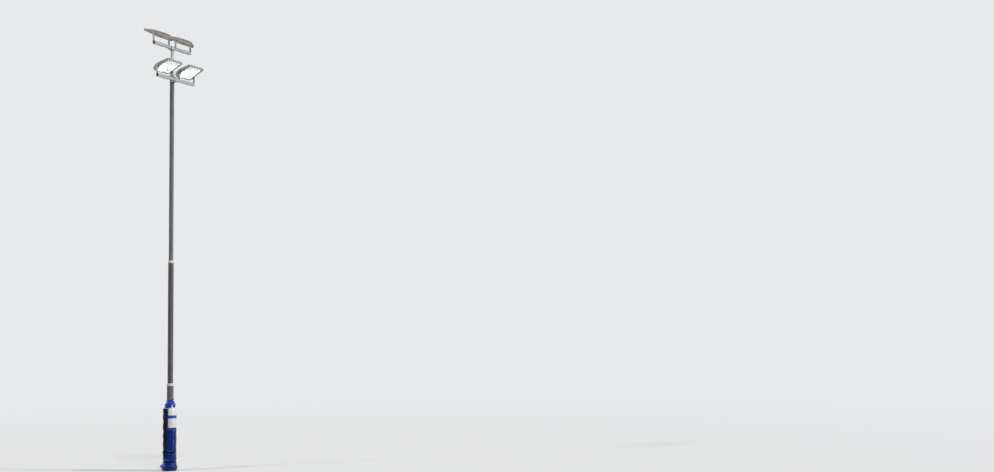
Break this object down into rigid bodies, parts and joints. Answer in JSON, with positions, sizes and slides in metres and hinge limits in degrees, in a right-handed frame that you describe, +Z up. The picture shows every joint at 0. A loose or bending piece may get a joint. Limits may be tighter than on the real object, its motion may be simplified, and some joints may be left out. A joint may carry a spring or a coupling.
{
  "type": "stadium floodlight pylon",
  "caption": "Stepped tubular steel mast with crossarms, flat-glass floodlights that tilt in their yokes, and a blue foam pad laced round its foot.",
  "frame": {"origin": "centre of the mast's foot at ground level", "axes": "+Z up the mast, +X along the crossarms, +Y to the side that the upper floodlights light and -Y to the side that the lower ones light"},
  "size_m": [1.4548, 0.7964, 10.9158],
  "materials": {
    "mast_steel": "mid-grey paint over galvanising, dull and slightly mottled",
    "collar_paint": "off-white paint, satin",
    "galvanised_steel": "hot-dip galvanised, weathered, with a faint spangle",
    "plated_bolts": "zinc plated",
    "cap_plastic": "black moulded plastic",
    "lamp_casting": "cast aluminium, beige-grey powder coat",
    "lamp_frame": "satin die casting",
    "reflector_sheet": "bright anodised, hammered",
    "burner_glass": "lit quartz envelope",
    "front_glass": "clear toughened glass",
    "pad_cover": "royal blue coated tarpaulin, softly creased",
    "pad_webbing": "dark lacing strip with pale cord ties",
    "panel_sheet": "bare white coated sheet"
  },
  "bodies": {
    "mast": {"foot_plate": "mast_steel", "base_tube": "mast_steel", "lower_collar": "collar_paint", "middle_tube": "mast_steel", "upper_collar": "collar_paint", "top_tube": "mast_steel", "spigot_collar": "mast_steel", "head_spigot": "mast_steel", "head_plate": "galvanised_steel", "upper_crossarm": "galvanised_steel", "upper_crossarm_caps": "cap_plastic", "lower_crossarm": "galvanised_steel", "lower_crossarm_caps": "cap_plastic", "lower_saddle": "galvanised_steel", "lower_clamp_plate": "galvanised_steel", "lower_clamp_bows": "plated_bolts", "pad_body": "pad_cover", "pad_hood": "pad_cover", "pad_skirt": "pad_cover", "pad_lacing_strip": "pad_webbing", "pad_panel": "panel_sheet", "upper_left_yoke": "galvanised_steel", "upper_right_yoke": "galvanised_steel", "lower_left_yoke": "galvanised_steel", "lower_right_yoke": "galvanised_steel"},
    "upper_left_floodlight": {"upper_left_housing": "lamp_casting", "upper_left_reflector": "reflector_sheet", "upper_left_burner": "burner_glass", "upper_left_glass_frame": "lamp_frame", "upper_left_glass": "front_glass"},
    "upper_right_floodlight": {"upper_right_housing": "lamp_casting", "upper_right_reflector": "reflector_sheet", "upper_right_burner": "burner_glass", "upper_right_glass_frame": "lamp_frame", "upper_right_glass": "front_glass"},
    "lower_left_floodlight": {"lower_left_housing": "lamp_casting", "lower_left_reflector": "reflector_sheet", "lower_left_burner": "burner_glass", "lower_left_glass_frame": "lamp_frame", "lower_left_glass": "front_glass"},
    "lower_right_floodlight": {"lower_right_housing": "lamp_casting", "lower_right_reflector": "reflector_sheet", "lower_right_burner": "burner_glass", "lower_right_glass_frame": "lamp_frame", "lower_right_glass": "front_glass"}
  },
  "joints": [
    {"name": "upper_left_tilt", "type": "hinge", "parent": "mast", "child": "upper_left_floodlight", "pos_m": [-0.42, 0, 10.755], "axis": [1, 0, 0], "range_deg": [-57, 33]},
    {"name": "upper_right_tilt", "type": "hinge", "parent": "mast", "child": "upper_right_floodlight", "pos_m": [0.42, 0, 10.755], "axis": [1, 0, 0], "range_deg": [-57, 33]},
    {"name": "lower_left_tilt", "type": "hinge", "parent": "mast", "child": "lower_left_floodlight", "pos_m": [-0.42, -0.114, 9.93], "axis": [-1, 0, 0], "range_deg": [-57, 33]},
    {"name": "lower_right_tilt", "type": "hinge", "parent": "mast", "child": "lower_right_floodlight", "pos_m": [0.42, -0.114, 9.93], "axis": [-1, 0, 0], "range_deg": [-57, 33]}
  ]
}
